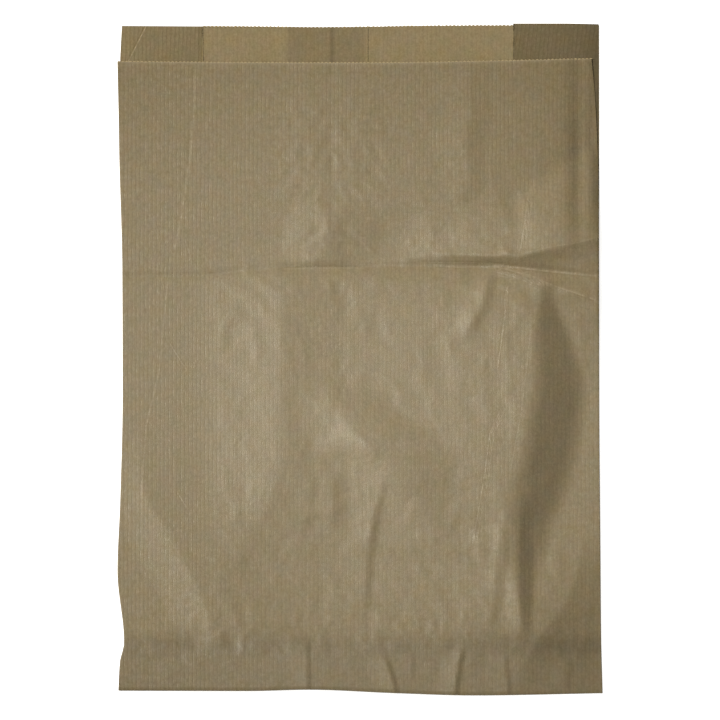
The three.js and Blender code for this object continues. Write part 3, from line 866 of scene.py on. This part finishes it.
def makeTeeth(name, tree, sizes, lines):
    verts = np.concatenate(lines) * mm
    starts = np.cumsum([0] + [len(line) for line in lines[:-1]])
    edgePairs = []
    for start, line in zip(starts, lines):
        edgePairs += [(start + k, start + k + 1) for k in range(len(line) - 1)]
    mesh = bpy.data.meshes.new(name + "Line")
    mesh.from_pydata(verts.tolist(), edgePairs, [])
    guide = bpy.data.objects.new(name + "Line", mesh)
    bpy.context.scene.collection.objects.link(guide)
    grow = guide.modifiers.new("teeth", "NODES")
    grow.node_group = tree
    for label in ("Pitch", "Height", "Thickness"):
        grow[sizes[label]] = teeth[label.lower()] * mm
    grow[sizes["Uneven"]] = teeth["uneven"]
    shape = guide.evaluated_get(bpy.context.evaluated_depsgraph_get())
    piece = bpy.data.objects.new(name, bpy.data.meshes.new_from_object(shape))
    bpy.context.scene.collection.objects.link(piece)
    bpy.data.objects.remove(guide)
    return piece


def edgeLine(start, end, edge, heightAt):
    x = np.linspace(start, end, 60)
    y = edgeAt(edge, x)
    return np.stack([x, y, heightAt(x, y)], 1)


studio = {
    "frameWidth": (bagHigh.y - bagLow.y) * 1.073,
    "cameraHeight": 8,
    "lightDistance": 15,
    "lightSize": 4,
    "keyAzimuth": 155,         # both lamps stand at the upper left
    "keyElevation": 27,
    "keyPower": 3560,
    "sheenAzimuth": 180,
    "sheenElevation": 72,
    "sheenPower": 425,
    "fill": 0.185,
    "floor": 0.9,
    "floorGlow": 0.8,
}


def makeCamera():
    data = bpy.data.cameras.new("camera")
    data.sensor_width = 36
    data.lens = 36 * studio["cameraHeight"] / studio["frameWidth"]
    camera = bpy.data.objects.new("camera", data)
    camera.location = (0, -0.6 * mm, studio["cameraHeight"])
    bpy.context.scene.collection.objects.link(camera)
    bpy.context.scene.camera = camera


def makeLight(name, colour):
    data = bpy.data.lights.new(name, "AREA")
    data.color = colour
    data.shape = "DISK"
    data.size = studio["lightSize"]
    data.energy = studio[name + "Power"]
    lamp = bpy.data.objects.new(name, data)
    turn, tilt = math.radians(studio[name + "Azimuth"]), math.radians(studio[name + "Elevation"])
    place = (math.cos(turn) * math.cos(tilt), math.sin(turn) * math.cos(tilt), math.sin(tilt))
    lamp.location = [part * studio["lightDistance"] for part in place]
    lamp.rotation_mode = "QUATERNION"
    lamp.rotation_quaternion = lamp.location.to_track_quat("Z", "Y")
    lamp.visible_camera = False
    lamp.visible_glossy = name == "sheen"    # only the upper lamp is mirrored in the glaze
    bpy.context.scene.collection.objects.link(lamp)


def makeStudio():
    mesh = bpy.data.meshes.new("floor")
    mesh.from_pydata([(-20, -20, 0), (20, -20, 0), (20, 20, 0), (-20, 20, 0)], [], [(0, 1, 2, 3)])
    floor = bpy.data.objects.new("floor", mesh)
    material = bpy.data.materials.new("paleFloor")
    material.use_nodes = True
    shader = material.node_tree.nodes["Principled BSDF"]
    shader.inputs["Base Color"].default_value = (studio["floor"], studio["floor"], studio["floor"], 1)
    shader.inputs["Roughness"].default_value = 0.9
    shader.inputs["Emission Color"].default_value = (1, 1, 1, 1)
    shader.inputs["Emission Strength"].default_value = studio["floorGlow"]
    mesh.materials.append(material)
    bpy.context.scene.collection.objects.link(floor)
    makeLight("key", (1, 1, 1))
    makeLight("sheen", (1, 0.98, 0.88))
    world = bpy.data.worlds.new("studio")
    world.use_nodes = True
    world.node_tree.nodes["Background"].inputs["Color"].default_value = (1, 1, 1, 1)
    world.node_tree.nodes["Background"].inputs["Strength"].default_value = studio["fill"]
    bpy.context.scene.world = world
    bpy.context.scene.view_settings.view_transform = "Standard"


makeCamera()
makeStudio()
print("camera and studio ready")
front = makeFront()
print("front panel:", len(front.data.polygons), "faces")
pieces = [front, makeBack("back_left", -1), makeBack("back_right", 1),
          makeGusset("gusset_left", -1), makeGusset("gusset_right", 1)]
print("back halves and gussets ready")
tree, sizes = growTeeth()
pieces.append(makeTeeth("lip_teeth", tree, sizes, [edgeLine(-131, 125.4, "lip", panelHeight)]))
pieces.append(makeTeeth("mouth_teeth", tree, sizes, [
    edgeLine(-84.5, bag["seamTo"], "mouth", lambda x, y: backHeight(x, y) + back["overlapLift"]),
    edgeLine(bag["seamTo"] + 1, 82.5, "mouth", backHeight)]))
print("sawn edges ready")
for piece in pieces:
    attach(piece, "root")
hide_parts("bread_bag")
